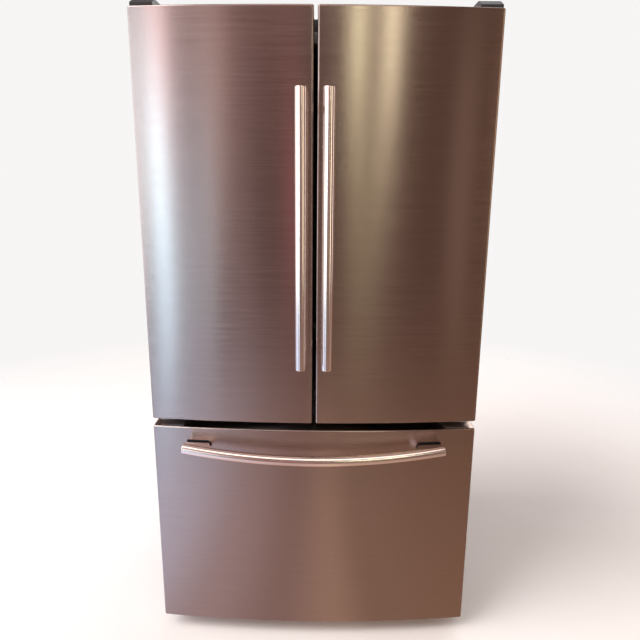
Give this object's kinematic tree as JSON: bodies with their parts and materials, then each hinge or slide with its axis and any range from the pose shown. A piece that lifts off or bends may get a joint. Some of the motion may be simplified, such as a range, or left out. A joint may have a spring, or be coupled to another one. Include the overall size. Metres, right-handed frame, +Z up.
{
  "type": "french door refrigerator",
  "caption": "Full-height refrigerator with two hinged upper doors, a pull-out freezer drawer below, a curved steel front and bar handles.",
  "frame": {"origin": "on the floor at the middle of the whole footprint, which runs from the front of the freezer handle to the back panel", "axes": "+Z up, -Y out of the doors' front, +X to the user's right"},
  "size_m": [0.908, 0.905, 1.778],
  "materials": {
    "door_steel": "satin",
    "handle_steel": "polished",
    "case_paint": "satin",
    "black_steel": "satin",
    "zinc_steel": "satin",
    "white_plastic": "satin",
    "clear_plastic": "gloss",
    "dark_plastic": "satin",
    "grey_rubber": "matte",
    "shelf_glass": "polished",
    "foam": "matte",
    "copper_tube": "satin"
  },
  "bodies": {
    "cabinet": {"cabinet_shell": "case_paint", "back_panel": "zinc_steel", "cabinet_insulation": "foam", "fridge_liner": "white_plastic", "freezer_liner": "white_plastic", "base_pan": "zinc_steel", "machine_cover": "zinc_steel", "kick_plate": "dark_plastic", "compressor": "black_steel", "condenser": "copper_tube", "fan_motor": "black_steel", "left_top_hinge": "zinc_steel", "right_top_hinge": "zinc_steel", "left_hinge_cover": "dark_plastic", "right_hinge_cover": "dark_plastic", "left_middle_hinge": "zinc_steel", "right_middle_hinge": "zinc_steel", "upper_left_shelf": "shelf_glass", "lower_left_shelf": "shelf_glass", "upper_right_shelf": "shelf_glass", "lower_right_shelf": "shelf_glass", "crisper_cover": "shelf_glass", "ceiling_light": "white_plastic", "ice_maker": "white_plastic", "left_slide_outer": "zinc_steel", "right_slide_outer": "zinc_steel"},
    "left_door": {"left_door_skin": "door_steel", "left_door_liner": "white_plastic", "left_door_gasket": "grey_rubber", "left_door_handle": "handle_steel", "dairy_bin": "clear_plastic", "left_middle_bin": "clear_plastic", "left_lower_bin": "clear_plastic"},
    "right_door": {"right_door_skin": "door_steel", "right_door_liner": "white_plastic", "right_door_gasket": "grey_rubber", "right_door_handle": "handle_steel", "right_upper_bin": "clear_plastic", "right_middle_bin": "clear_plastic", "right_lower_bin": "clear_plastic"},
    "mullion": {"mullion": "dark_plastic"},
    "dairy_lid": {"dairy_lid": "clear_plastic"},
    "left_crisper": {"left_crisper": "clear_plastic"},
    "right_crisper": {"right_crisper": "clear_plastic"},
    "freezer_drawer": {"freezer_door_skin": "door_steel", "freezer_door_liner": "white_plastic", "freezer_door_gasket": "grey_rubber", "left_handle_mount": "black_steel", "right_handle_mount": "black_steel", "freezer_basket": "clear_plastic", "drawer_frame": "zinc_steel"},
    "freezer_handle": {"freezer_handle": "handle_steel"},
    "middle_slides": {"left_slide_middle": "zinc_steel", "right_slide_middle": "zinc_steel"},
    "upper_freezer_drawer": {"upper_freezer_drawer": "clear_plastic"},
    "condenser_fan": {"condenser_fan": "dark_plastic"},
    "left_roller": {"left_roller": "grey_rubber"},
    "right_roller": {"right_roller": "grey_rubber"},
    "left_leg": {"left_leg": "black_steel"},
    "right_leg": {"right_leg": "black_steel"}
  },
  "joints": [
    {"name": "left_door_hinge", "type": "hinge", "parent": "cabinet", "child": "left_door", "pos_m": [-0.428, -0.321, 0.689], "axis": [0, 0, -1], "range_deg": [0, 125]},
    {"name": "right_door_hinge", "type": "hinge", "parent": "cabinet", "child": "right_door", "pos_m": [0.428, -0.321, 0.689], "axis": [0, 0, 1], "range_deg": [0, 125]},
    {"name": "mullion_hinge", "type": "hinge", "parent": "left_door", "child": "mullion", "pos_m": [-0.026, -0.2585, 0.74], "axis": [0, 0, -1], "range_deg": [0, 90], "stiffness_Nm_per_rad": 0.5},
    {"name": "dairy_lid_hinge", "type": "hinge", "parent": "left_door", "child": "dairy_lid", "pos_m": [-0.353, -0.2765, 1.56], "axis": [1, 0, 0], "range_deg": [0, 80]},
    {"name": "left_crisper_slide", "type": "slide", "parent": "cabinet", "child": "left_crisper", "axis": [0, -1, 0], "range_m": [0, 0.285]},
    {"name": "right_crisper_slide", "type": "slide", "parent": "cabinet", "child": "right_crisper", "axis": [0, -1, 0], "range_m": [0, 0.285]},
    {"name": "freezer_drawer_slide", "type": "slide", "parent": "cabinet", "child": "freezer_drawer", "axis": [0, -1, 0], "range_m": [0, 0.43]},
    {"name": "middle_slides_travel", "type": "slide", "parent": "cabinet", "child": "middle_slides", "axis": [0, -1, 0], "range_m": [0, 0.215]},
    {"name": "upper_drawer_slide", "type": "slide", "parent": "cabinet", "child": "upper_freezer_drawer", "axis": [0, -1, 0], "range_m": [0, 0.344]},
    {"name": "freezer_handle_hinge", "type": "hinge", "parent": "freezer_drawer", "child": "freezer_handle", "pos_m": [0, -0.38927, 0.622], "axis": [-1, 0, 0], "range_deg": [0, 12]},
    {"name": "condenser_fan_spin", "type": "hinge", "parent": "cabinet", "child": "condenser_fan", "pos_m": [-0.095, 0.325, 0.165], "axis": [1, 0, 0], "continuous": true},
    {"name": "left_roller_spin", "type": "hinge", "parent": "cabinet", "child": "left_roller", "pos_m": [-0.4, 0.36, 0.018], "axis": [1, 0, 0], "continuous": true},
    {"name": "right_roller_spin", "type": "hinge", "parent": "cabinet", "child": "right_roller", "pos_m": [0.4, 0.36, 0.018], "axis": [1, 0, 0], "continuous": true},
    {"name": "left_leg_screw", "type": "slide", "parent": "cabinet", "child": "left_leg", "axis": [0, 0, -1], "range_m": [0, 0.015]},
    {"name": "right_leg_screw", "type": "slide", "parent": "cabinet", "child": "right_leg", "axis": [0, 0, -1], "range_m": [0, 0.015]}
  ],
  "couplings": [
    {"joint": "left_crisper_slide", "follows": "left_door_hinge", "m_per_rad": 0.13},
    {"joint": "right_crisper_slide", "follows": "right_door_hinge", "m_per_rad": 0.13},
    {"joint": "middle_slides_travel", "follows": "freezer_drawer_slide", "ratio": 0.5},
    {"joint": "upper_drawer_slide", "follows": "freezer_drawer_slide", "ratio": 0.8}
  ]
}
